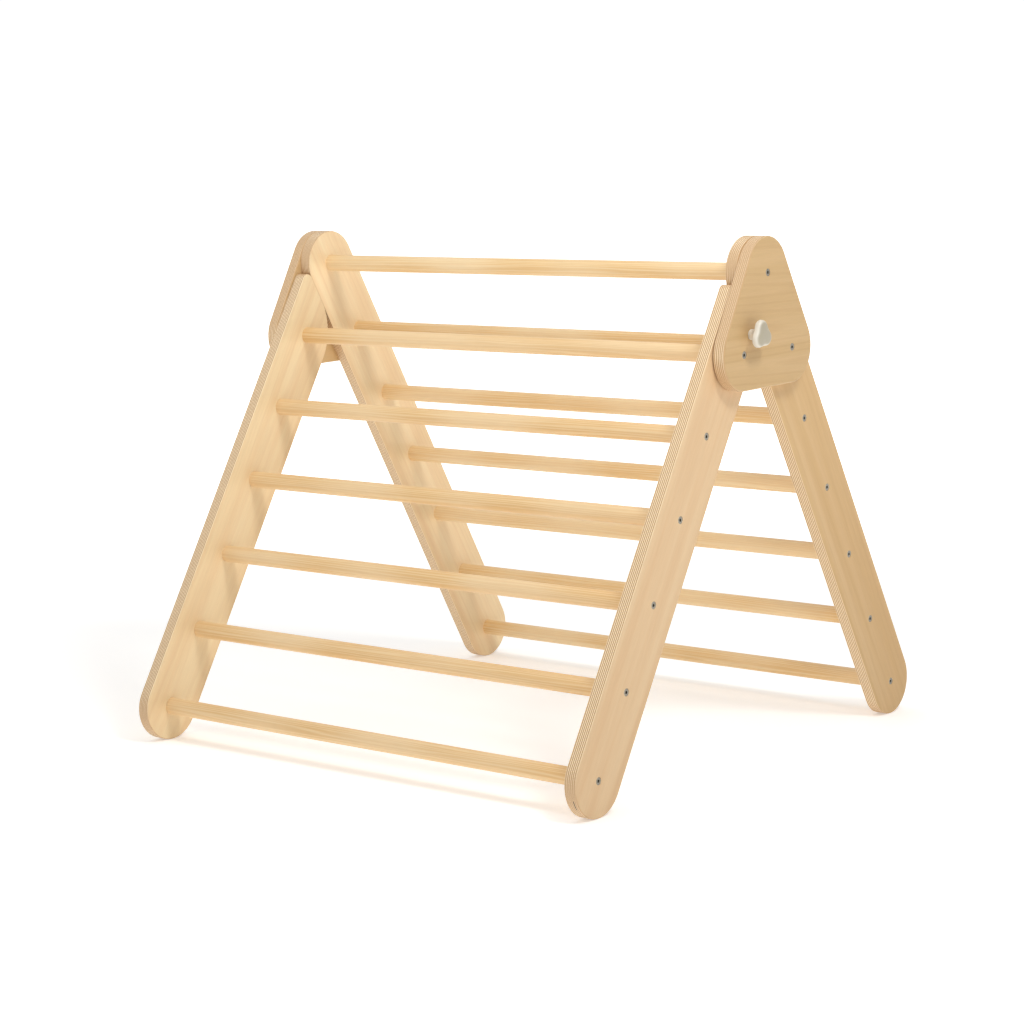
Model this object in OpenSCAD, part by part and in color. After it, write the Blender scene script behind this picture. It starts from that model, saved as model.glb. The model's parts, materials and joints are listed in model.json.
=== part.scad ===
// Folding climbing triangle: two dowel ladders of birch plywood, joined at the top by two side
// plates. The back ladder is screwed to the plates. The front ladder turns on two pivot screws,
// and when open it stops against the front edges of the back rails. On each side a hand knob
// holds the fold. X runs along the rungs, Y from front to back, and Z up. The origin is on the
// floor, in the middle between the four feet.

/* [Rails] */
// Width of a plywood rail across its flat side
rail_w = 97; // [80:1:110]
// Thickness of the plywood in the rails and side plates
ply_t = 18; // [15:0.5:21]
// Clear width between the two back rails
clear_w = 750; // [500:10:900]
// Lean of the front ladder from the vertical, in degrees
front_lean = 30.8; // [27:0.1:33]
// Lean of the back ladder from the vertical, in degrees
back_lean = 30.3; // [27:0.1:33]
// Radius of the pointed top of a front rail
tip_r = 10; // [6:0.5:12]
// Radius of the rear corner of a front rail's top
heel_r = 85; // [75:1:90]

/* [Rungs] */
// Distance from rung to rung along a rail
rung_pitch = 120; // [100:5:150]
// Diameter of a rung
rung_d = 24; // [20:1:28]
// Number of rungs in the front ladder; the back ladder has one more
front_rungs = 6; // [4:1:7]
// Depth of the socket that a rung's end sits in
socket_depth = 6; // [4:0.5:8]

/* [Fold] */
// Distance from the pivot to the front edge of the back rail
pivot_reach = 55; // [52:0.5:60]
// Gap at the stop between front rail and back rail
stop_gap = 0.3; // [0.2:0.1:1]
// Gap between a side plate and the front rail, filled by the pivot washer
plate_gap = 1; // [0.8:0.1:2]
// Outer diameter of a pivot washer
pivot_washer_d = 22; // [18:1:26]

/* [Screws] */
// Diameter of a screw head
head_d = 10; // [9:0.5:12]
// Diameter of a screw's smooth shank
shank_d = 7; // [6:0.5:7]
// Diameter of a screw's threaded end
thread_d = 5; // [4:0.5:6]
// Width across flats of the hexagon socket in a screw head
hex_af = 4; // [3:0.5:5]
// How far a screw reaches into a rung
screw_reach = 38; // [30:1:45]

/* [Knobs] */
// Distance from the pivot to the knob's axis, up along the front rail
knob_up = 30.5; // [27:0.5:32]
// Distance from the knob's axis to the middle of one of its three lobes
lobe_offset = 8; // [7:0.5:10]
// Radius of a lobe of the knob
lobe_r = 12; // [10:0.5:13]
// Thickness of the knob's lobed cap
cap_t = 10; // [8:0.5:13]
// Length of the knob's hub
hub_l = 11.5; // [8:0.5:16]
// Diameter of the knob's hub
hub_d = 15; // [14:0.5:18]
// Diameter of the knob's threaded stud
stud_d = 8; // [6:1:8]
// How far the knob is turned from an upright lobe, in degrees
lobe_turn = 6; // [0:1:30]

/* [Hidden] */
$fn = 96;
back_rungs = front_rungs + 1;

// Clearances: parts of one ladder, parts that turn in each other, and parts that pass each other
seat_play = 0.1;
run_play = 0.05;
pass_play = 0.3;

// Outward faces on the right-hand side, from the middle outwards
back_in_x = clear_w / 2;
back_out_x = back_in_x + ply_t;
plate_out_x = back_out_x + ply_t;
front_out_x = back_out_x - plate_gap;
front_in_x = front_out_x - ply_t;

// How many of the back rungs, from the top, are screwed on through the side plates
plate_rungs = 2;

// Screws: the head's depth below the wood, its rim, its cone and its hexagon socket
head_sunk = 0.3;
rim_h = 1;
cone_h = 3;
hex_depth = 2.5;
head_play = 0.2;
// Screws: the smooth stretch inside the rung, and the thinner tip
smooth_l = 6;
tip_h = 3;
tip_d = thread_d / 3;

// The knob and its stud, its washer, the insert that it screws through and its groove
lobes = 3;
stud_in_knob = 10;
stud_gap = 0.3;
knob_washer_t = 1.2;
knob_washer_d = 14;
washer_gap = 0.2;
insert_l = 15;
insert_d = 12;
groove_depth = 9;
pivot_washer_gap = 0.2;

// How far a hole's cutter reaches past the faces that it opens
cut = 1;
// How much smaller the groove's round ends are, so that they don't just touch its sides
hair = 0.02;

// Each rail's direction up the slope and, square to it, its direction towards the front, in Y and Z
front_up = [sin(front_lean), cos(front_lean)];
front_fwd = [-cos(front_lean), sin(front_lean)];
back_up = [-sin(back_lean), cos(back_lean)];
back_fwd = [-cos(back_lean), -sin(back_lean)];

// The pivot is the axis of front rung 1. The feet stand on the floor, the same way off the middle
half_w = rail_w / 2;
front_run = (front_rungs - 1) * rung_pitch;
back_run = (back_rungs - 1) * rung_pitch;
pivot_z = half_w + front_run * cos(front_lean);
back_top_z = half_w + back_run * cos(back_lean);
// How far back the top back rung is from the pivot, so that the back rail passes at pivot_reach
rise = back_top_z - pivot_z;
top_shift = ((half_w + pivot_reach) - rise * sin(back_lean)) / cos(back_lean);
feet_spread = front_run * sin(front_lean) - back_run * sin(back_lean);
pivot_y = (feet_spread - top_shift) / 2;
pivot = [pivot_y, pivot_z];
back_top = [pivot_y + top_shift, back_top_z];
knob_axis = pivot + knob_up * front_up;
fold_angle = front_lean + back_lean;

function front_rung_at(i) = pivot - (i - 1) * rung_pitch * front_up;
function back_rung_at(i) = back_top - (i - 1) * rung_pitch * back_up;
function unit(v) = v / norm(v);
function from_upright(turn) = [sin(turn), cos(turn)];
function from_right(turn) = [cos(turn), sin(turn)];
function right_of(v) = [v[1], -v[0]] / norm(v);

// The point where the line through p along d meets the line through q along e
function meet(p, d, q, e) = p + d * cross(q - p, e) / cross(d, e);

// Half of the angle between two unit directions, and the rounding of a corner between them
function half_angle(a, b) = acos(a * b) / 2;
function round_start(p, a, b, r) = p + a * r / tan(half_angle(a, b));
function round_middle(p, a, b, r) = p + unit(a + b) * r / sin(half_angle(a, b));

// Turns an outline drawn in Y and Z into a board between two X values
module board(x0, x1) {
    translate([x0, 0, 0])
        rotate([90, 0, 90])
            linear_extrude(height = x1 - x0)
                children();
}

// A rod along X through a point in Y and Z
module rod(at, x0, x1, d0, d1) {
    translate([x0, at[0], at[1]])
        rotate([0, 90, 0])
            cylinder(h = x1 - x0, d1 = d0, d2 = d1);
}

// A part of the right-hand side, or its mirror image on the left
module on_side(side) {
    if (side == "right")
        children();
    else
        mirror([1, 0, 0])
            children();
}

// The round corner at p between directions a and b
module round_corner(p, a, b, r) {
    intersection() {
        translate(round_middle(p, a, b, r))
            circle(r = r);
        polygon([round_middle(p, a, b, r), round_start(p, a, b, r), p, round_start(p, b, a, r)]);
    }
}

// An outline of radius r round the given corners, which go anticlockwise
module round_band(corners, r) {
    count = len(corners);
    polygon([
        for (i = [0 : count - 1], end = [i, (i + 1) % count])
            corners[end] + r * right_of(corners[(i + 1) % count] - corners[i])
    ]);
    for (at = corners)
        translate(at)
            circle(r = r);
}

// Outline of a back rail: straight sides, round about its first and its last rung
module back_rail_outline() {
    foot = back_rung_at(back_rungs);
    edge = half_w * back_fwd;
    polygon([foot + edge, foot - edge, back_top - edge, back_top + edge]);
    for (at = [foot, back_top])
        translate(at)
            circle(r = half_w);
}

// Outline of a front rail: a round foot, and a top cut off along the back rail that it stops on
module front_rail_outline() {
    foot = front_rung_at(front_rungs);
    edge = half_w * front_fwd;
    stop_line = back_top + (half_w + stop_gap) * back_fwd;
    tip = meet(pivot + edge, front_up, stop_line, back_up);
    heel = meet(pivot - edge, front_up, stop_line, back_up);
    polygon([
        foot - edge,
        round_start(heel, -front_up, back_up, heel_r),
        round_start(heel, back_up, -front_up, heel_r),
        round_start(tip, -back_up, -front_up, tip_r),
        round_start(tip, -front_up, -back_up, tip_r),
        foot + edge
    ]);
    round_corner(tip, -back_up, -front_up, tip_r);
    round_corner(heel, -front_up, back_up, heel_r);
    translate(foot)
        circle(r = half_w);
}

// Outline of a side plate: a band as wide as a rail round its three screws
module side_plate_outline() {
    round_band([pivot, back_rung_at(plate_rungs), back_top], half_w);
}

// A wood screw with its head at x_out, passing through wood to x_in and on into a rung
module screw(at, x_out, x_in) {
    head = x_out - head_sunk;
    under = head - rim_h - cone_h;
    point = x_in - screw_reach;
    difference() {
        union() {
            rod(at, head - rim_h, head, head_d, head_d);
            rod(at, under, head - rim_h, shank_d, head_d);
            rod(at, x_in - smooth_l, under, shank_d, shank_d);
            rod(at, point + tip_h, x_in - smooth_l, thread_d, thread_d);
            rod(at, point, point + tip_h, tip_d, thread_d);
        }
        hex_socket(at, head);
    }
}

// The hexagon socket in a screw head
module hex_socket(at, head) {
    translate([head - hex_depth, at[0], at[1]])
        rotate([0, 90, 0])
            cylinder(h = hex_depth + cut, d = hex_af / cos(30), $fn = 6);
}

// The hole for a screw through wood from x_out to x_in, with room for the head
module screw_hole(at, x_out, x_in, play) {
    head = x_out - head_sunk;
    rod(at, head - rim_h, x_out + cut, head_d + 2 * head_play, head_d + 2 * head_play);
    rod(at, head - rim_h - cone_h, head - rim_h, shank_d + 2 * play, head_d + 2 * head_play);
    rod(at, x_in - cut, head - rim_h - cone_h, shank_d + 2 * play, shank_d + 2 * play);
}

// The plain part of a screw's hole, where the head is further out
module shank_hole(at, x0, x1, play) {
    rod(at, x0 - cut, x1 + cut, shank_d + 2 * play, shank_d + 2 * play);
}

// The socket for a rung's end in a rail whose inner face is at x_in
module socket(at, x_in) {
    rod(at, x_in - cut, x_in + socket_depth, rung_d, rung_d);
}

module back_rail(side) {
    color("burlywood")
        on_side(side)
            difference() {
                board(back_in_x, back_out_x)
                    back_rail_outline();
                for (i = [1 : back_rungs])
                    socket(back_rung_at(i), back_in_x);
                for (i = [1 : plate_rungs])
                    shank_hole(back_rung_at(i), back_in_x, back_out_x, seat_play);
                for (i = [plate_rungs + 1 : back_rungs])
                    screw_hole(back_rung_at(i), back_out_x, back_in_x, seat_play);
            }
}

module front_rail(side) {
    color("burlywood")
        on_side(side)
            difference() {
                board(front_in_x, front_out_x)
                    front_rail_outline();
                for (i = [1 : front_rungs])
                    socket(front_rung_at(i), front_in_x);
                shank_hole(pivot, front_in_x, front_out_x, seat_play);
                for (i = [2 : front_rungs])
                    screw_hole(front_rung_at(i), front_out_x, front_in_x, seat_play);
                board(front_out_x - groove_depth, front_out_x + cut)
                    groove_outline();
            }
}

// The curved groove that the knob's stud runs in while the front ladder folds
module groove_outline() {
    groove_w = stud_d + 2 * pass_play;
    beyond = knob_up * 2;
    translate(pivot) {
        intersection() {
            difference() {
                circle(r = knob_up + groove_w / 2);
                circle(r = knob_up - groove_w / 2);
            }
            polygon([
                [0, 0],
                beyond * from_upright(front_lean + fold_angle),
                beyond * from_upright(front_lean + fold_angle / 2),
                beyond * from_upright(front_lean)
            ]);
        }
        for (turn = [front_lean, front_lean + fold_angle])
            translate(knob_up * from_upright(turn))
                circle(d = groove_w - hair);
    }
}

module side_plate(side) {
    color("tan")
        on_side(side)
            difference() {
                board(back_out_x, plate_out_x)
                    side_plate_outline();
                for (i = [1 : plate_rungs])
                    screw_hole(back_rung_at(i), plate_out_x, back_out_x, seat_play);
                screw_hole(pivot, plate_out_x, back_out_x, run_play);
                rod(knob_axis, back_out_x - cut, plate_out_x + cut,
                    insert_d + 2 * seat_play, insert_d + 2 * seat_play);
            }
}

// A round rung, sanded a little thinner where its ends sit in the rails
module rung(at, x_in) {
    sanded_d = rung_d - 2 * seat_play;
    end_x = x_in + socket_depth - seat_play;
    color("goldenrod")
        difference() {
            union() {
                rod(at, -x_in, x_in, rung_d, rung_d);
                rod(at, -end_x, end_x, sanded_d, sanded_d);
            }
            for (side = ["left", "right"])
                on_side(side)
                    pilot_hole(at, x_in);
        }
}

// The pilot hole for a screw in the end of a rung
module pilot_hole(at, x_in) {
    smooth_x = x_in - smooth_l - seat_play;
    thread_x = x_in - screw_reach - seat_play;
    rod(at, smooth_x, x_in + socket_depth + cut, shank_d + 2 * seat_play, shank_d + 2 * seat_play);
    rod(at, thread_x, smooth_x + seat_play, thread_d + 2 * seat_play, thread_d + 2 * seat_play);
}

module back_rung_screws(side) {
    color("silver")
        on_side(side)
            for (i = [plate_rungs + 1 : back_rungs])
                screw(back_rung_at(i), back_out_x, back_in_x);
}

module front_rung_screws(side) {
    color("silver")
        on_side(side)
            for (i = [2 : front_rungs])
                screw(front_rung_at(i), front_out_x, front_in_x);
}

module plate_screws(side) {
    color("silver")
        on_side(side)
            for (i = [1 : plate_rungs])
                screw(back_rung_at(i), plate_out_x, back_in_x);
}

module pivot_screw(side) {
    color("silver")
        on_side(side)
            screw(pivot, plate_out_x, front_in_x);
}

module pivot_washer(side) {
    bore = shank_d + 2 * seat_play;
    color("whitesmoke")
        on_side(side)
            difference() {
                rod(pivot, front_out_x, back_out_x - pivot_washer_gap, pivot_washer_d, pivot_washer_d);
                rod(pivot, front_out_x - cut, back_out_x + cut, bore, bore);
            }
}

// The brass insert in the side plate that the knob's stud screws through
module threaded_insert(side) {
    bore = stud_d + 2 * pass_play;
    color("darkgoldenrod")
        on_side(side)
            difference() {
                rod(knob_axis, plate_out_x - insert_l, plate_out_x, insert_d, insert_d);
                rod(knob_axis, back_out_x, plate_out_x + cut, bore, bore);
            }
}

module knob_washer(side) {
    bore = stud_d + 2 * pass_play;
    x0 = plate_out_x + washer_gap;
    color("whitesmoke")
        on_side(side)
            difference() {
                rod(knob_axis, x0, x0 + knob_washer_t, knob_washer_d, knob_washer_d);
                rod(knob_axis, x0 - cut, x0 + knob_washer_t + cut, bore, bore);
            }
}

// Outline of the knob's cap: round lobes joined by straight sides
module knob_outline() {
    upright = 90;
    round_band(
        [for (i = [0 : lobes - 1]) lobe_offset * from_right(upright + i * 360 / lobes)],
        lobe_r
    );
}

// The moulded knob: a hub and a lobed cap, on a stud that is moulded in
module knob(side) {
    hub_x = plate_out_x + knob_washer_t + 2 * washer_gap;
    cap_x = hub_x + hub_l;
    color("beige")
        on_side(side)
            difference() {
                union() {
                    rod(knob_axis, hub_x, cap_x + cut, hub_d, hub_d);
                    board(cap_x, cap_x + cap_t)
                        translate(knob_axis)
                            rotate(lobe_turn)
                                knob_outline();
                }
                rod(knob_axis, hub_x - cut, hub_x + stud_in_knob, stud_d, stud_d);
            }
}

module knob_stud(side) {
    hub_x = plate_out_x + knob_washer_t + 2 * washer_gap;
    tip_x = front_out_x - groove_depth + stud_gap;
    color("silver")
        on_side(side)
            rod(knob_axis, tip_x, hub_x + stud_in_knob, stud_d, stud_d);
}

for (side = ["left", "right"]) {
    back_rail(side);
    front_rail(side);
    side_plate(side);
    back_rung_screws(side);
    front_rung_screws(side);
    plate_screws(side);
    pivot_screw(side);
    pivot_washer(side);
    threaded_insert(side);
    knob_washer(side);
    knob(side);
    knob_stud(side);
}
for (i = [1 : back_rungs])
    rung(back_rung_at(i), back_in_x);
for (i = [1 : front_rungs])
    rung(front_rung_at(i), front_in_x);
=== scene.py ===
# %% [markdown]
# # A folding climbing triangle of birch plywood and dowels
# Two ladders lean on each other under two side plates. The front ladder turns on two screws and
# folds onto the back one, and a hand knob on each side holds the fold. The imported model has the
# exact sizes and joints. This lesson gives its pieces their final surfaces: sanded boards, turned
# dowels, plated screws and moulded knobs.
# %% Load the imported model
import json
import math
import bmesh
import bpy
from mathutils import Matrix, Vector


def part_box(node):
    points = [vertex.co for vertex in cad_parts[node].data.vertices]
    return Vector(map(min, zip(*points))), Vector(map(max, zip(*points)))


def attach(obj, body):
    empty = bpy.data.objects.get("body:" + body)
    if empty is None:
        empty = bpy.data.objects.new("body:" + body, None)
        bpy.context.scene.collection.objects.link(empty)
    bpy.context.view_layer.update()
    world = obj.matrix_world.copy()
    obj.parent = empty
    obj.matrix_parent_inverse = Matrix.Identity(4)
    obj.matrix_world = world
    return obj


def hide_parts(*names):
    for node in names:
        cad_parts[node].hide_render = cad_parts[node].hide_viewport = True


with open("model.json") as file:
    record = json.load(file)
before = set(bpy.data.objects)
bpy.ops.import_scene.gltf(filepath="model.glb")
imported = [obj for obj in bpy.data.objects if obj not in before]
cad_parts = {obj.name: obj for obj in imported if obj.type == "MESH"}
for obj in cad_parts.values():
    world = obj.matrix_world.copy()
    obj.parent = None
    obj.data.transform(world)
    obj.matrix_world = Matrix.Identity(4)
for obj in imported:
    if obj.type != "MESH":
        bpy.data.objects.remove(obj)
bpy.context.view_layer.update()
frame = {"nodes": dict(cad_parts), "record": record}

# %% [markdown]
# Every size below is in metres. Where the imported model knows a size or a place, it is asked:
# a node's box gives the faces of a board and the axis of a round part. The lowest rung is at the
# middle of its rail's round foot, so its height above the floor is half a rail's width.
# %% Ask the model where things are
MM = 0.001
WELD = 0.002 * MM
FLAT = math.radians(0.3)
BODY_OF = {
    node: body
    for body, nodes in frame["record"]["behaviour"]["bodies"].items()
    for node in nodes
}
SIDES = {"left": -1, "right": 1}


def axis_of(node):
    """The middle of a node's box, which for a round part lies on its axis."""
    low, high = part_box(node)
    return (low + high) / 2


def nodes_like(*words):
    """The names of the nodes that hold all of these words, in order."""
    return sorted(node for node in BODY_OF if all(word in node for word in words))


def lean_of(upper, lower):
    """How far the line from one rung to another leans from the vertical, towards +Y."""
    run = axis_of(upper) - axis_of(lower)
    return math.atan2(run.y, run.z)


def copy_of(node):
    """A bmesh of a node's own shape, with its triangles merged into whole flat faces."""
    made = bmesh.new()
    made.from_mesh(frame["nodes"][node].data)
    bmesh.ops.remove_doubles(made, verts=made.verts, dist=WELD)
    bmesh.ops.dissolve_limit(made, angle_limit=FLAT, verts=made.verts, edges=made.edges)
    return made


RUNGS = [node for node in nodes_like("rung_") if "screws" not in node]
FRONT_LEAN = lean_of("front_rung_1", "front_rung_2")
BACK_LEAN = lean_of("back_rung_1", "back_rung_2")
PLY_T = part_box("right_side_plate")[1].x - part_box("right_side_plate")[0].x
HALF_RAIL = axis_of("back_rung_7").z
print(len(RUNGS), "rungs; the ladders lean", round(math.degrees(FRONT_LEAN), 1), "and",
      round(math.degrees(BACK_LEAN), 1), "degrees")

# %% [markdown]
# The camera stands in front and to the right, a little above the rungs, and looks slightly down
# through a long lens, so that the far ladder is hardly smaller than the near one. Yaw, pitch and
# roll are easier to read than a rotation matrix, so the camera's axes are built from them.
# %% Camera
CAMERA_AT = Vector((2.237, -2.853, 0.840))
YAW, PITCH, ROLL = math.radians(38.47), math.radians(8.22), math.radians(-0.89)
LENS_MM = 88.73

camera = bpy.data.objects.new("camera", bpy.data.cameras.new("camera"))
bpy.context.scene.collection.objects.link(camera)
bpy.context.scene.camera = camera
camera.data.lens = LENS_MM
ahead = Matrix.Rotation(YAW, 4, "Z") @ Matrix.Rotation(math.radians(90) - PITCH, 4, "X")
camera.matrix_world = Matrix.Translation(CAMERA_AT) @ ahead @ Matrix.Rotation(ROLL, 4, "Z")

# %% [markdown]
# Colours are written as sRGB hex values, as in a paint program. Blender calculates in linear
# light, so one function turns them. Shader trees are built by one function too: it adds a node,
# sets it, and fills its inputs, where a socket is linked and a plain value is set. Boards and
# dowels are finished with the same oil, so the last steps of both woods are one function.
# %% Colours and nodes
COLOUR = {"data_type": "RGBA"}
TINT = {"data_type": "RGBA", "blend_type": "MULTIPLY"}
FACTOR, A, B, MIXED = 0, 6, 7, 2
OILED_WOOD_IOR = 1.47


def linear(hex_colour):
    """An sRGB hex colour such as "#e6c79f" as linear red, green, blue and alpha."""
    parts = [int(hex_colour[i:i + 2], 16) / 255 for i in (1, 3, 5)]
    turned = [c / 12.92 if c <= 0.04045 else ((c + 0.055) / 1.055) ** 2.4 for c in parts]
    return (*turned, 1.0)


def add(tree, kind, settings=None, inputs=None):
    """Adds a node to a shader tree with its settings, links and values."""
    made = tree.nodes.new("ShaderNode" + kind)
    for name, value in (settings or {}).items():
        setattr(made, name, value)
    for name, value in (inputs or {}).items():
        if isinstance(value, bpy.types.NodeSocket):
            tree.links.new(value, made.inputs[name])
        else:
            made.inputs[name].default_value = value
    return made


def new_material(name):
    """An empty material, and its shader tree with the shader already on the output."""
    material = bpy.data.materials.new(name)
    material.use_nodes = True
    tree = material.node_tree
    tree.nodes.clear()
    shader = add(tree, "BsdfPrincipled")
    add(tree, "OutputMaterial", None, {"Surface": shader.outputs["BSDF"]})
    return material, tree, shader


def felt(tree, shader, height, strength, depth):
    """Lets a pattern be felt as a fine relief on the surface."""
    bump = add(tree, "Bump", None, {"Height": height, "Strength": strength, "Distance": depth})
    tree.links.new(bump.outputs[0], shader.inputs["Normal"])


def oiled(tree, shader, colour, fibres, smoothest, roughest, relief):
    """Oiled wood: the fibres fleck the colour, vary the satin shine and can just be felt."""
    flecks = add(tree, "MapRange", None, {"Value": fibres, "From Min": 0.3, "From Max": 0.7,
                                          "To Min": 0.95, "To Max": 1.03})
    flecked = add(tree, "VectorMath", {"operation": "SCALE"}, {0: colour,
                                                               "Scale": flecks.outputs[0]})
    tree.links.new(flecked.outputs[0], shader.inputs["Base Color"])
    satin = add(tree, "MapRange", None, {"Value": fibres, "To Min": smoothest,
                                         "To Max": roughest})
    tree.links.new(satin.outputs[0], shader.inputs["Roughness"])
    felt(tree, shader, fibres, relief, 0.05 * MM)
    shader.inputs["IOR"].default_value = OILED_WOOD_IOR


print("a mid grey, #808080, is", round(linear("#808080")[0], 3), "of white in linear light")

# %% [markdown]
# The studio is a pale floor under a white sky. The sky gives most of the light, as the white
# walls of a studio do. One big soft light hangs over the object, and a smaller one high on the
# right draws the soft shadows of the knob and the side plate. The floor throws light back up, and
# it glows though it is no lamp: faintly near the object, and brighter further out, so that it
# runs into the sky with no horizon. The sky shows white behind the object but lights it more
# gently, and less from the right than from the left, so the wood keeps its shading.
# %% Floor, sky and lights
FLOOR_SIZE = 60.0
LIT_FROM = 0.7
LIT_TO = 3.0
FLOOR_GLOW = 0.3
SKY_SEEN = 1.05
SKY_LEFT = 0.84
SKY_RIGHT = 0.2

floor_mesh = bpy.data.meshes.new("floor")
sheet = bmesh.new()
bmesh.ops.create_grid(sheet, x_segments=1, y_segments=1, size=FLOOR_SIZE / 2)
sheet.to_mesh(floor_mesh)
sheet.free()
floor = bpy.data.objects.new("floor", floor_mesh)
bpy.context.scene.collection.objects.link(floor)
paper, paper_tree, paper_shader = new_material("white_studio_paper")
paper_shader.inputs["Base Color"].default_value = linear("#f7f6f4")
paper_shader.inputs["Roughness"].default_value = 0.9
paper_shader.inputs["Emission Color"].default_value = linear("#ffffff")
on_floor = add(paper_tree, "TexCoord").outputs["Object"]
from_middle = add(paper_tree, "VectorMath", {"operation": "LENGTH"}, {0: on_floor})
# The floor glows, though it is no lamp: faintly near the object, and brighter further out
floor_glow_ramp = add(paper_tree, "MapRange", {"interpolation_type": "SMOOTHSTEP"}, {
    "Value": from_middle.outputs["Value"], "From Min": LIT_FROM, "From Max": LIT_TO,
    "To Min": FLOOR_GLOW})
paper_tree.links.new(floor_glow_ramp.outputs[0], paper_shader.inputs["Emission Strength"])
floor_mesh.materials.append(paper)

world = bpy.data.worlds.new("studio")
bpy.context.scene.world = world
world.use_nodes = True
sky = world.node_tree
sky.nodes.clear()
seen = add(sky, "Background", None, {"Color": (1, 1, 1, 1), "Strength": SKY_SEEN})
towards = add(sky, "SeparateXYZ", None, {0: add(sky, "TexCoord").outputs["Generated"]})
level = add(sky, "MapRange", None, {"Value": towards.outputs["X"], "From Min": -1.0,
                                    "To Min": SKY_LEFT, "To Max": SKY_RIGHT})
glow = add(sky, "Background", None, {"Color": (1, 1, 1, 1), "Strength": level.outputs[0]})
ray = add(sky, "LightPath")
both = add(sky, "MixShader", None, {0: ray.outputs["Is Camera Ray"], 1: glow.outputs[0],
                                    2: seen.outputs[0]})
add(sky, "OutputWorld", None, {"Surface": both.outputs[0]})


def softbox(name, place, aim, size, power):
    """A square soft light of a given size and power, turned to a point."""
    lamp = bpy.data.lights.new(name, "AREA")
    lamp.shape = "SQUARE"
    lamp.size = size
    lamp.energy = power
    hung = bpy.data.objects.new(name, lamp)
    bpy.context.scene.collection.objects.link(hung)
    hung.location = place
    hung.rotation_euler = (Vector(aim) - Vector(place)).to_track_quat("-Z", "Y").to_euler()


softbox("overhead", (0.2, -0.4, 2.4), (0.1, -0.1, 0.3), 2.2, 16)
softbox("high_right", (1.85, -0.55, 2.5), (0.3, 0, 0.4), 0.6, 25)
bpy.context.scene.view_settings.view_transform = "Standard"
print("the studio has", len(bpy.data.lights), "soft lights")

# %% [markdown]
# **Birch plywood.** An 18 mm board is thirteen thin birch veneers glued crosswise. The face
# shows one veneer, with its grain along the board. The edge shows all thirteen: where a veneer's
# grain runs out of the edge, the end grain drinks oil and looks brown, and between two veneers
# is a dark line of glue. A flat picture could not do this on a round foot, so the wood is made
# solid: the place inside the board says which veneer it is, and the veneers follow any cut.
# The mesh carries one more thing, named *facing*: how much each face looks across the board,
# along its grain, or out of its thickness. That says where grain ends and where it runs.
# The front right rail also has a small fault, as real plywood does: near its foot an inner veneer
# falls short and leaves a slit in the edge. The slit is not cut into the board: it is painted
# dark, as painted shade inside the gap.
# %% Birch plywood
PLIES = 13
GLUE_LINE = 0.16 * MM
FACE_SKIN = 0.01
FIBRE = 0.7 * MM
STREAK = 22 * MM
SWELL = 90 * MM
SWELL_RINGS = 90.0
GRAIN_STRETCH = 30
EDGE_PALE = "#fde9c4"
END_GRAIN = "#c39768"
GLUE = "#8a653f"
RING_BROWN = "#c79a6a"
# The slit's dark colour is painted shade, standing in for the shade inside the gap
GAP_SHADE = "#4d3423"
GAP_HALF = 7.5 * MM
GAP_VENEER = 8
GAP_TURN = math.radians(30)
NO_GAP = (0, 0, 9)


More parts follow.
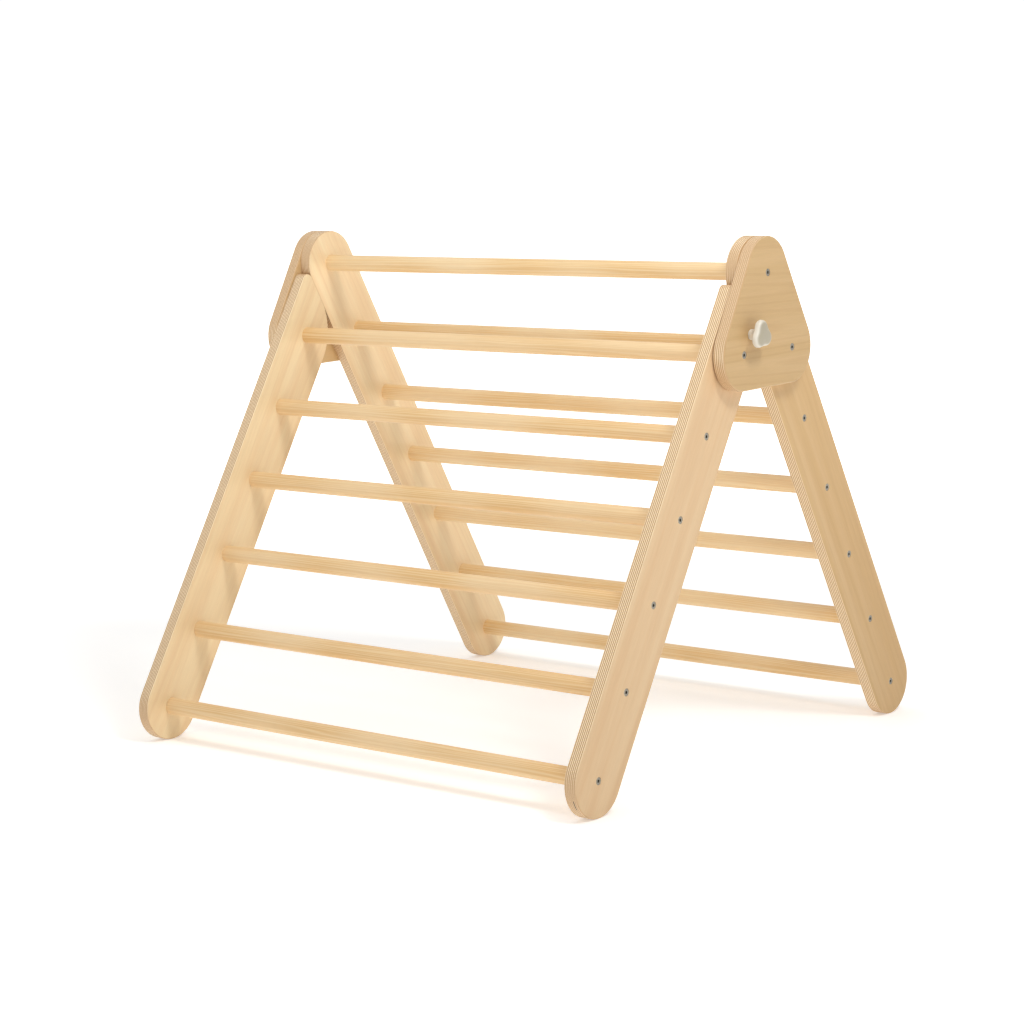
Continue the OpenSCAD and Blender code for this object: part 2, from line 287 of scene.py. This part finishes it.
def birch_plywood(name, inner_x, lean, veneer, streak, ring_depth, shift, gap=NO_GAP):
    """Birch plywood, sanded and oiled: pale satin wood with crosswise veneers in its edge."""
    material, tree, shader = new_material(name)
    place = add(tree, "TexCoord").outputs["Object"]
    along_z = add(tree, "Mapping", None, {"Vector": place, "Rotation": (lean, 0, 0)})
    axes = add(tree, "SeparateXYZ", None, {0: along_z.outputs[0]})
    outward = add(tree, "Math", {"operation": "ABSOLUTE"}, {0: axes.outputs["X"]})
    depth = add(tree, "Math", {"operation": "SUBTRACT"}, {0: outward.outputs[0], 1: inner_x})
    in_plies = add(tree, "MapRange", None, {
        "Value": depth.outputs[0], "From Max": PLY_T, "To Min": FACE_SKIN,
        "To Max": PLIES - FACE_SKIN})
    number = add(tree, "Math", {"operation": "FLOOR"}, {0: in_plies.outputs[0]})
    crosswise = add(tree, "Math", {"operation": "FLOORED_MODULO"}, {0: number.outputs[0], 1: 2.0})

    # Each veneer has its own stretch of wood, with the grain along the board or across it
    stretch = add(tree, "Mix", {"data_type": "VECTOR"}, {
        0: crosswise.outputs[0],
        4: (1, 1, 1 / GRAIN_STRETCH),
        5: (1, 1 / GRAIN_STRETCH, 1),
    })
    own_wood = add(tree, "CombineXYZ", None, {"Y": number.outputs[0], "Z": number.outputs[0]})
    moved = add(tree, "VectorMath", {"operation": "ADD"}, {0: along_z.outputs[0],
                                                          1: own_wood.outputs[0]})
    grain = add(tree, "VectorMath", {"operation": "MULTIPLY"}, {0: moved.outputs[0],
                                                               1: stretch.outputs[1]})
    shifted = add(tree, "VectorMath", {"operation": "ADD"}, {0: grain.outputs[0],
                                                            1: (shift, shift, shift)})

    # Fibres, broad streaks, and the growth rings that peeling a log spreads over the face
    fibres = add(tree, "TexNoise", None, {"Vector": shifted.outputs[0], "Scale": 1 / FIBRE,
                                          "Detail": 3.0, "Roughness": 0.6})
    streaks = add(tree, "TexNoise", None, {"Vector": shifted.outputs[0], "Scale": 1 / STREAK,
                                           "Detail": 3.0, "Roughness": 0.55})
    swell = add(tree, "TexNoise", None, {"Vector": shifted.outputs[0], "Scale": 1 / SWELL,
                                         "Detail": 1.0})
    contour = add(tree, "Math", {"operation": "MULTIPLY"}, {0: swell.outputs[0],
                                                            1: SWELL_RINGS})
    wave = add(tree, "Math", {"operation": "SINE"}, {0: contour.outputs[0]})
    ring = add(tree, "MapRange", {"interpolation_type": "SMOOTHSTEP"}, {
        "Value": wave.outputs[0], "From Min": 0.35, "From Max": 1.0,
        "To Min": 0.0, "To Max": ring_depth})
    soft = add(tree, "MapRange", None, {"Value": streaks.outputs[0], "From Min": 0.36,
                                        "From Max": 0.64})
    body = add(tree, "Mix", COLOUR, {FACTOR: soft.outputs[0], A: linear(veneer),
                                     B: linear(streak)})
    ringed = add(tree, "Mix", TINT, {FACTOR: ring.outputs[0], A: body.outputs[MIXED],
                                     B: linear(RING_BROWN)})

    # End grain where the fibres run out of the surface, and glue between the veneers
    facing = add(tree, "Attribute", {"attribute_name": "facing"}).outputs["Vector"]
    looks = add(tree, "SeparateXYZ", None, {0: facing})
    ends = add(tree, "Mix", {"data_type": "FLOAT"}, {0: crosswise.outputs[0],
                                                     2: looks.outputs["Z"],
                                                     3: looks.outputs["Y"]})
    edge_only = add(tree, "Math", {"operation": "SUBTRACT"}, {0: 1.0, 1: looks.outputs["X"]})
    planed = add(tree, "Mix", COLOUR, {FACTOR: edge_only.outputs[0], A: ringed.outputs[MIXED],
                                       B: linear(EDGE_PALE)})
    cut = add(tree, "Mix", COLOUR, {FACTOR: ends.outputs[0], A: planed.outputs[MIXED],
                                    B: linear(END_GRAIN)})
    within = add(tree, "Math", {"operation": "PINGPONG"}, {0: in_plies.outputs[0], 1: 0.5})
    glue = add(tree, "MapRange", {"interpolation_type": "SMOOTHSTEP"}, {
        "Value": within.outputs[0], "From Min": 0.0, "From Max": GLUE_LINE / (PLY_T / PLIES),
        "To Min": 1.0, "To Max": 0.0})
    line = add(tree, "Math", {"operation": "MULTIPLY"}, {0: glue.outputs[0],
                                                         1: edge_only.outputs[0]})
    glued = add(tree, "Mix", COLOUR, {FACTOR: line.outputs[0], A: cut.outputs[MIXED],
                                      B: linear(GLUE)})

    # The slit: one veneer's layer, near one place, painted dark as the shade inside the gap
    from_gap = add(tree, "VectorMath", {"operation": "DISTANCE"}, {0: place, 1: gap})
    near_gap = add(tree, "Math", {"operation": "LESS_THAN"}, {0: from_gap.outputs["Value"],
                                                              1: GAP_HALF})
    short = add(tree, "Math", {"operation": "COMPARE"}, {
        0: number.outputs[0], 1: GAP_VENEER, 2: 0.5})
    slit = add(tree, "Math", {"operation": "MULTIPLY"}, {0: near_gap.outputs[0],
                                                         1: short.outputs[0]})
    gapped = add(tree, "Mix", COLOUR, {FACTOR: slit.outputs[0], A: glued.outputs[MIXED],
                                       B: linear(GAP_SHADE)})
    oiled(tree, shader, gapped.outputs[MIXED], fibres.outputs[0], 0.48, 0.62, 0.25)
    return material


PLATE_GRAIN = math.radians(90)
# Each board has its own pair of tones, partly the wood's own tone and partly painted light and
# shade: the left rails are painted paler, and the right rails, the back right one most, and the
# side plates darker.
BOARD_TONES_AND_SHADE = {
    "back_left_rail": ("#fae2b7", "#f4d5a8"),
    "back_right_rail": ("#d7b482", "#d0aa75"),
    "front_left_rail": ("#f2daaf", "#ebcc9f"),
    "front_right_rail": ("#e4c59b", "#dfbb8f"),
    "left_side_plate": ("#d5b482", "#d0ad79"),
    "right_side_plate": ("#cdac7c", "#c7a573"),
}
PLATE_RINGS = 0.1
RAIL_RINGS = 0.06
FIRST_SHIFT = 3.1
GAPS = {"front_right_rail": (
    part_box("front_right_rail")[0].x + (GAP_VENEER + 0.5) * PLY_T / PLIES,
    axis_of("front_rung_6").y - HALF_RAIL * math.cos(GAP_TURN),
    axis_of("front_rung_6").z - HALF_RAIL * math.sin(GAP_TURN),
)}
BOARDS = {}
for number, (node, colours) in enumerate(BOARD_TONES_AND_SHADE.items()):
    plate = "plate" in node
    lean = PLATE_GRAIN if plate else FRONT_LEAN if node.startswith("front") else BACK_LEAN
    inner_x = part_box(node.replace("left", "right"))[0].x
    BOARDS[node] = birch_plywood(f"oiled_birch_ply_{node}", inner_x, lean, *colours,
                                 PLATE_RINGS if plate else RAIL_RINGS, FIRST_SHIFT + number,
                                 GAPS.get(node, NO_GAP))
print("plywood for", len(BOARDS), "boards, each veneer", round(PLY_T / PLIES / MM, 2), "mm")

# %% [markdown]
# ** The dowels** are turned from a straight-grained, golden hardwood. A dowel cut almost along the
# grain shows long streaks, and where a growth ring leaves the round surface it draws a narrow
# flame. Both come from a solid pattern whose rings are nearly parallel to X. Across Y and Z the
# pattern keeps changing, so every rung is a different piece of wood with no extra work. The
# back ladder's dowels are painted slightly paler than the front ladder's, as painted light: the
# paler tone stands in for brighter light on those rungs.
# %% Turned hardwood
DOWEL_RING = 3.2 * MM
DOWEL_FIBRE = 0.6 * MM
RING_BEND = 9 * MM
BATCH = 60 * MM


def turned_hardwood(name, late, early, sapwood):
    """Hardwood dowel, sanded and oiled: golden, satin, with long streaks and flames."""
    material, tree, shader = new_material(name)
    place = add(tree, "TexCoord").outputs["Object"]
    long_wood = add(tree, "Mapping", None, {"Vector": place, "Scale": (1 / 45, 1, 1)})
    slow = add(tree, "TexNoise", None, {"Vector": long_wood.outputs[0], "Scale": 1 / RING_BEND,
                                        "Detail": 2.0})
    fibres = add(tree, "TexNoise", None, {"Vector": long_wood.outputs[0],
                                          "Scale": 1 / DOWEL_FIBRE, "Detail": 3.0,
                                          "Roughness": 0.6})
    axes = add(tree, "SeparateXYZ", None, {0: place})
    slant = add(tree, "Math", {"operation": "MULTIPLY"}, {0: axes.outputs["Y"],
                                                          1: 0.6 / DOWEL_RING})
    height = add(tree, "Math", {"operation": "MULTIPLY_ADD"}, {
        0: axes.outputs["Z"], 1: 0.8 / DOWEL_RING, 2: slant.outputs[0]})
    bent = add(tree, "Math", {"operation": "MULTIPLY_ADD"}, {
        0: slow.outputs[0], 1: 4.0, 2: height.outputs[0]})
    wave = add(tree, "Math", {"operation": "PINGPONG"}, {0: bent.outputs[0], 1: 0.5})
    ring = add(tree, "MapRange", {"interpolation_type": "SMOOTHSTEP"}, {
        "Value": wave.outputs[0], "From Min": 0.12, "From Max": 0.5})
    body = add(tree, "Mix", COLOUR, {FACTOR: ring.outputs[0], A: linear(late),
                                     B: linear(early)})
    one_piece = add(tree, "Mapping", None, {"Vector": place, "Scale": (0.4, 1, 1)})
    batch = add(tree, "TexNoise", None, {"Vector": one_piece.outputs[0], "Scale": 1 / BATCH,
                                         "Detail": 0.0})
    pale = add(tree, "MapRange", None, {"Value": batch.outputs[0], "From Min": 0.35,
                                        "From Max": 0.65, "To Max": 0.55})
    tinted = add(tree, "Mix", COLOUR, {FACTOR: pale.outputs[0], A: body.outputs[MIXED],
                                       B: linear(sapwood)})
    oiled(tree, shader, tinted.outputs[MIXED], fibres.outputs[0], 0.42, 0.58, 0.3)
    return material


# The back ladder's paler dowel tones are painted light: they stand in for brighter light on those
# rungs
DOWEL_WOOD = {
    "front": turned_hardwood("oiled_golden_dowel", "#e2b97f", "#edcc9a", "#f2d7ad"),
    "back": turned_hardwood("oiled_pale_dowel", "#e6bf86", "#efd1a1", "#f3dab1"),
}
print(len(DOWEL_WOOD), "tones of dowel wood, with rings", DOWEL_RING / MM, "mm apart")

# %% [markdown]
# **Metal and plastic.** The screws are steel with a thin zinc plating, grey and slightly cloudy.
# The insert is turned brass. Knobs and washers are moulded: the knobs a cream plastic with the
# faint texture of the mould, the washers natural nylon. One function serves them all, because
# they differ only in colour, metal, gloss and the size of their faint mottling. The knob's outer
# face is painted a little darker than the rest: this is painted shade, as that face turns away
# from the light.
# %% Metal and plastic
KNOB_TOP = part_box("right_knob")[1].x
FACE_FROM = KNOB_TOP - 3.0 * MM
FACE_TO = KNOB_TOP - 0.6 * MM
GLOSS_WANDERS = 0.06


def plain_finish(name, dark, light, metallic, gloss, mottle, grit, painted_face_shade=None):
    """An even material whose tone and roughness wander a little over its surface."""
    material, tree, shader = new_material(name)
    place = add(tree, "TexCoord").outputs["Object"]
    cloud = add(tree, "TexNoise", None, {"Vector": place, "Scale": 1 / mottle, "Detail": 3.0})
    fine = add(tree, "TexNoise", None, {"Vector": place, "Scale": 1 / grit, "Detail": 1.0})
    tone = add(tree, "Mix", COLOUR, {FACTOR: cloud.outputs[0], A: linear(dark),
                                     B: linear(light)})
    # The outer face is mixed towards a darker colour: painted shade
    if painted_face_shade:
        off_middle = add(tree, "Math", {"operation": "ABSOLUTE"}, {
            0: add(tree, "SeparateXYZ", None, {0: place}).outputs["X"]})
        on_face = add(tree, "MapRange", {"interpolation_type": "SMOOTHSTEP"}, {
            "Value": off_middle.outputs[0], "From Min": FACE_FROM, "From Max": FACE_TO})
        tone = add(tree, "Mix", COLOUR, {FACTOR: on_face.outputs[0], A: tone.outputs[MIXED],
                                         B: linear(painted_face_shade)})
    tree.links.new(tone.outputs[MIXED], shader.inputs["Base Color"])
    rough = add(tree, "MapRange", None, {
        "Value": cloud.outputs[0], "From Min": 0.3, "From Max": 0.7,
        "To Min": gloss - GLOSS_WANDERS, "To Max": gloss + GLOSS_WANDERS})
    tree.links.new(rough.outputs[0], shader.inputs["Roughness"])
    felt(tree, shader, fine.outputs[0], 0.2, 0.02 * MM)
    shader.inputs["Metallic"].default_value = metallic
    return material


zinc = plain_finish("zinc_plated_steel", "#76726a", "#aea99b", 1.0, 0.34, 2 * MM, 0.2 * MM)
brass = plain_finish("turned_brass", "#b98f45", "#d2ab62", 1.0, 0.3, 3 * MM, 0.3 * MM)
nylon = plain_finish("natural_nylon", "#dcd7c8", "#e8e4d8", 0.0, 0.45, 4 * MM, 0.4 * MM)
# The cream knob's outer face is painted darker, as painted shade
cream = plain_finish("moulded_cream_plastic", "#dcd5c5", "#e6e0d2", 0.0, 0.42, 6 * MM, 0.35 * MM,
                     painted_face_shade="#ada48f")
print("made", ", ".join(material.name for material in (zinc, brass, nylon, cream)))

# %% [markdown]
# A finished piece stands for its node of the imported model: it rides on the same body, and the
# node is hidden. Faces are smooth, and edges sharper than a limit stay crisp. The Weighted Normal
# modifier lets the large flat faces set the shading at a rounded edge. Edges that nearly form a
# right angle are the ones that get rounded.
# %% Turn a bmesh into a finished piece
CRISP = math.radians(35)
SQUARE = math.radians(60)


def finished(name, made, node, material, mirrored=False):
    """Makes a piece from a bmesh, in place of a node."""
    if mirrored:
        bmesh.ops.scale(made, vec=(-1, 1, 1), verts=made.verts)
        bmesh.ops.reverse_faces(made, faces=made.faces)
    for face in made.faces:
        face.smooth = True
    for edge in made.edges:
        edge.smooth = len(edge.link_faces) == 2 and edge.calc_face_angle(0) < CRISP
    mesh = bpy.data.meshes.new(name)
    made.to_mesh(mesh)
    made.free()
    mesh.materials.append(material)
    piece = bpy.data.objects.new(name, mesh)
    bpy.context.scene.collection.objects.link(piece)
    shading = piece.modifiers.new("shading", "WEIGHTED_NORMAL")
    shading.keep_sharp = True
    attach(piece, BODY_OF[node])
    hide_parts(node)
    return piece


def round_edges(made, edges, radius, steps):
    """Rounds the given edges of a bmesh."""
    bmesh.ops.bevel(made, geom=edges, offset=radius, offset_type="OFFSET", segments=steps,
                    profile=0.5, affect="EDGES", material=-1, loop_slide=False)


print("edges stay crisp above", round(math.degrees(CRISP)), "degrees, and can be rounded above",
      round(math.degrees(SQUARE)))

# %% [markdown]
# **Boards.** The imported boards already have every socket, screw hole and groove, but their edges
# are as sharp as a drawing. A maker sands those edges: about a millimetre on the rails, and a
# generous round on the side plates, which children grip. So each board is a copy of its node.
# Its loose triangles are merged, the flat faces are made whole, and then the outline is rounded.
# The outline is told from the holes by its distance to the rungs: it stays half a rail away.
# %% Boards with sanded edges
RAIL_EDGE = 1.0 * MM
PLATE_EDGE = 2.2 * MM
EDGE_STEPS = 3
CLEAR_OF_RUNGS = 0.8 * HALF_RAIL


def is_outline(edge, axes):
    """True for an edge between a broad face and the outer edge of a board."""
    middle = (edge.verts[0].co + edge.verts[1].co) / 2
    clear = min(math.hypot(middle.y - at.y, middle.z - at.z) for at in axes)
    return edge.calc_face_angle(0) > SQUARE and clear > CLEAR_OF_RUNGS


def board(node, axes, lean, edge_radius):
    """A copy of a board's node with its outline sanded round and its facing stored."""
    made = copy_of(node)
    outline = [edge for edge in made.edges if is_outline(edge, axes)]
    round_edges(made, outline, edge_radius, EDGE_STEPS)
    made.normal_update()
    along = Vector((0, math.sin(lean), math.cos(lean)))
    across = Vector((0, math.cos(lean), -math.sin(lean)))
    facing = made.faces.layers.float_vector.new("facing")
    for face in made.faces:
        face[facing] = (abs(face.normal.x), abs(face.normal @ across), abs(face.normal @ along))
    piece = finished(node + "_board", made, node, BOARDS[node])
    print(node, len(outline), "outline edges rounded,", len(piece.data.polygons), "faces")


front_axes = [axis_of(node) for node in RUNGS if node.startswith("front")]
back_axes = [axis_of(node) for node in RUNGS if node.startswith("back")]
plate_axes = [axis_of(node) for node in ("front_rung_1", "back_rung_1", "back_rung_2")]
for side in SIDES:
    board(f"front_{side}_rail", front_axes, FRONT_LEAN, RAIL_EDGE)
    board(f"back_{side}_rail", back_axes, BACK_LEAN, RAIL_EDGE)
    board(f"{side}_side_plate", plate_axes, PLATE_GRAIN, PLATE_EDGE)

# %% [markdown]
# **Turned parts.** Dowels, washers, inserts and studs are all round, so one function makes them
# the way a lathe does: it takes the profile from one end to the other and spins it about the
# part's axis. A profile that closes on itself gives a ring, and one that starts and ends on the
# axis gives a solid.
# %% A lathe
LATHE_STEPS = 96
RIM_STEPS = 2


def turned(profile, at, closed=False):
    """Spins a profile of (x, radius) points about the line along X through a point."""
    made = bmesh.new()
    points = [made.verts.new((x, at.y, at.z + radius)) for x, radius in profile]
    pairs = list(zip(points, points[1:]))
    if closed:
        pairs.append((points[-1], points[0]))
    lines = [made.edges.new(pair) for pair in pairs]
    bmesh.ops.spin(made, geom=points + lines, cent=(0, at.y, at.z), axis=(1, 0, 0),
                   angle=2 * math.pi, steps=LATHE_STEPS, use_merge=True)
    bmesh.ops.remove_doubles(made, verts=made.verts, dist=WELD)
    bmesh.ops.recalc_face_normals(made, faces=made.faces)
    return made


def round_rims(made, radius):
    """Breaks every sharp rim of a turned part."""
    made.normal_update()
    rims = [edge for edge in made.edges if edge.calc_face_angle(0) > SQUARE]
    round_edges(made, rims, radius, RIM_STEPS)


print("the lathe takes", LATHE_STEPS, "steps of", 360 / LATHE_STEPS, "degrees")

# %% [markdown]
# **Rungs.** A rung is full size between the rails and a hair thinner where it sits in its
# sockets. Each end is bored for its screw: a wide stretch for the shank, a narrow one for the
# thread. The profile starts on the axis at the bottom of the left bore and ends at the right one.
# %% Rungs
SOCKET_SANDING = 0.1 * MM
SHANK_BORE = 3.6 * MM
THREAD_BORE = 2.6 * MM
SHANK_DEPTH = 6.1 * MM
THREAD_DEPTH = 38.1 * MM


def rung(node):
    """A dowel between two rails, with its ends sanded and bored."""
    low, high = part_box(node)
    rail = "back_right_rail" if node.startswith("back") else "front_right_rail"
    face_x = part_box(rail)[0].x
    radius = (high.z - low.z) / 2
    half = [
        (face_x - THREAD_DEPTH, 0.0),
        (face_x - THREAD_DEPTH, THREAD_BORE),
        (face_x - SHANK_DEPTH, THREAD_BORE),
        (face_x - SHANK_DEPTH, SHANK_BORE),
        (high.x, SHANK_BORE),
        (high.x, radius - SOCKET_SANDING),
        (face_x, radius - SOCKET_SANDING),
        (face_x, radius),
    ]
    profile = [(-x, r) for x, r in half] + half[::-1]
    made = turned(profile, axis_of(node))
    finished(node + "_dowel", made, node, DOWEL_WOOD[node.split("_")[0]])


for node in RUNGS:
    rung(node)
print(len(RUNGS), "rungs turned")

# %% [markdown]
# **Screws.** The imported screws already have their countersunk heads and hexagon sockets, which
# a lathe cannot make. They are copied, and the rims of head and socket are rounded by about a
# fifth of a millimetre, because plated steel never shows a razor edge.
# %% Screws
SCREW_EDGE = 0.22 * MM


def screws(node):
    """A copy of a node of screws with the rims of their heads rounded."""
    made = copy_of(node)
    outer_x = max(abs(corner.x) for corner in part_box(node))
    rims = [
        edge for edge in made.edges
        if edge.calc_face_angle(0) > SQUARE
        and all(abs(abs(vert.co.x) - outer_x) < WELD for vert in edge.verts)
    ]
    round_edges(made, rims, SCREW_EDGE, RIM_STEPS)
    finished(node + "_plated", made, node, zinc)


for node in nodes_like("screw"):
    screws(node)
print(len(nodes_like("screw")), "sets of screws plated")

# %% [markdown]
# **Washers, inserts and studs** are plain rings and rods, so they come off the lathe too. The
# stud shows its thread when the knob is screwed out, so its profile is a zigzag with the pitch
# of an M8 thread.
# %% Washers, inserts and studs
PITCH_M8 = 1.25 * MM
THREAD_M8 = 0.65 * MM
BORE_PLAY = 0.3 * MM
STUD_R = (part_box("right_knob_stud")[1].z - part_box("right_knob_stud")[0].z) / 2


def ring_part(node, bore_r, suffix, material, edge_radius):
    """A ring the size of its node with a bore right through it."""
    low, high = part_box(node)
    outer_r = (high.z - low.z) / 2
    profile = [(low.x, bore_r), (low.x, outer_r), (high.x, outer_r), (high.x, bore_r)]
    made = turned(profile, axis_of(node), closed=True)
    round_rims(made, edge_radius)
    finished(node + suffix, made, node, material)


def stud(node):
    """A threaded rod the size of its node."""
    low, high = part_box(node)
    turns = math.floor((high.x - low.x) / PITCH_M8)
    start = (high.x + low.x - turns * PITCH_M8) / 2
    crest = [(start + (i + 0.5) * PITCH_M8, STUD_R) for i in range(turns)]
    root = [(start + i * PITCH_M8, STUD_R - THREAD_M8) for i in range(turns + 1)]
    zigzag = sorted(crest + root)
    core = STUD_R - THREAD_M8
    profile = [(low.x, 0.0), (low.x, core), *zigzag[1:-1], (high.x, core), (high.x, 0.0)]
    finished(node + "_threaded", turned(profile, axis_of(node)), node, zinc)


for side in SIDES:
    ring_part(f"{side}_pivot_washer", SHANK_BORE, "_ring", nylon, 0.15 * MM)
    ring_part(f"{side}_knob_washer", STUD_R + BORE_PLAY, "_ring", nylon, 0.25 * MM)
    ring_part(f"{side}_threaded_insert", STUD_R + BORE_PLAY, "_sleeve", brass, 0.3 * MM)
    stud(f"{side}_knob_stud")
print("the stud has", math.floor(PLY_T / PITCH_M8), "turns of thread inside the side plate")

# %% [markdown]
# **The knob** is one moulding: a round hub under a cap with three soft lobes. Between the lobes
# the cap is hollowed for the fingers, more at its face than underneath, and its face falls away
# in a broad shoulder. It is built the way a sculptor works on a wheel. A circle is drawn at the
# bottom of the bore, and its edge is extruded ring by ring. Each ring has a height, a share of
# lobe from 0, the round hub, to 1, the cap, a share of the hollows, and an inset or a scale.
# %% Knobs
HUB_L = 11.5 * MM
HUB_R = 7.5 * MM
HUB_EDGE = 0.6 * MM
LOBE_R = 12.0 * MM
LOBE_OFFSET = 8.0 * MM
LOBE_TURN = math.radians(96)
LOBE_STEP = 2 * math.pi / 3
HOLLOW = 1.3 * MM
HOLLOW_POWER = 1.3
HOLLOW_UNDER = 0.55
HOLLOW_SIDE = 0.65
UNDER_ROUND = 2.2 * MM
SHOULDER_IN = 6.6 * MM
SHOULDER_H = 5.2 * MM
DOME = 0.6 * MM
DOME_SCALES = (0.85, 0.6, 0.3)
ROUND_STEPS = 7
KNOB_STEPS = 144
STUD_IN_KNOB = 10.0 * MM
HUB_FILLET = [(-2.4, 0), (-0.9, 0.4), (-0.25, 1.2), (0, 2.4)]


def lobe_reach(turn, hollow):
    """The distance from the knob's axis to the cap's outline: round lobes, hollow between."""
    off = abs((turn - LOBE_TURN + LOBE_STEP / 2) % LOBE_STEP - LOBE_STEP / 2)
    tangent = math.atan2(LOBE_R * math.sin(LOBE_STEP / 2), LOBE_OFFSET + LOBE_R / 2)
    if off < tangent:
        full = LOBE_OFFSET * math.cos(off) + math.sqrt(
            LOBE_R ** 2 - (LOBE_OFFSET * math.sin(off)) ** 2)
    else:
        full = (LOBE_OFFSET / 2 + LOBE_R) / math.cos(LOBE_STEP / 2 - off)
    between = (1 - math.cos(3 * off)) / 2
    return full - hollow * HOLLOW * between ** HOLLOW_POWER


def knob_rings(hub_x, top_x):
    """The knob's rings as (x, share of lobe, share of hollow, inset, scale)."""
    cap_x = hub_x + HUB_L
    face_x = top_x - DOME
    quarter = [math.pi / 2 * i / ROUND_STEPS for i in range(ROUND_STEPS + 1)]
    rings = [
        (hub_x, 0, 0, HUB_R - STUD_R, 1),
        (hub_x, 0, 0, HUB_EDGE, 1),
        (hub_x + HUB_EDGE, 0, 0, 0, 1),
    ]
    rings += [(cap_x + x * MM, 0, 0, -out * MM, 1) for x, out in HUB_FILLET]
    for a in quarter:
        height = cap_x + UNDER_ROUND * (1 - math.cos(a))
        rings.append((height, 1, HOLLOW_UNDER, UNDER_ROUND * (1 - math.sin(a)), 1))
    for a in quarter:
        height = face_x - SHOULDER_H * (1 - math.sin(a))
        hollow = HOLLOW_SIDE + (1 - HOLLOW_SIDE) * math.sin(a)
        rings.append((height, 1, hollow, SHOULDER_IN * (1 - math.cos(a)), 1))
    rings += [(face_x + DOME * (1 - s * s), 1, 1, SHOULDER_IN, s) for s in DOME_SCALES]
    return rings


def knob(side, sign):
    """A three-lobed hand knob, moulded in one piece round its stud; the left one is mirrored."""
    node = f"{side}_knob"
    low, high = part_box("right_knob")
    at = axis_of(f"{side}_knob_stud")
    made = bmesh.new()
    bore_end = Matrix.Translation((low.x + STUD_IN_KNOB, at.y, at.z))
    towards_x = Matrix.Rotation(math.radians(90), 4, "Y")
    bmesh.ops.create_circle(made, segments=KNOB_STEPS, radius=STUD_R,
                            matrix=bore_end @ towards_x)
    rim = list(made.edges)
    bmesh.ops.contextual_create(made, geom=rim)
    for x, share, hollow, inset, scale in knob_rings(low.x, high.x):
        grown = bmesh.ops.extrude_edge_only(made, edges=rim)["geom"]
        rim = [item for item in grown if isinstance(item, bmesh.types.BMEdge)]
        for vert in {vert for edge in rim for vert in edge.verts}:
            turn = math.atan2(vert.co.z - at.z, vert.co.y - at.y)
            full = HUB_R + share * (lobe_reach(turn, hollow) - HUB_R)
            reach = (full - inset) * scale
            vert.co = (x, at.y + reach * math.cos(turn), at.z + reach * math.sin(turn))
    bmesh.ops.contextual_create(made, geom=rim)
    bmesh.ops.recalc_face_normals(made, faces=made.faces)
    finished(node + "_moulding", made, node, cream, mirrored=sign < 0)
    print(node, "is", round((high.x - low.x) / MM, 1), "mm tall")


for side, sign in SIDES.items():
    knob(side, sign)
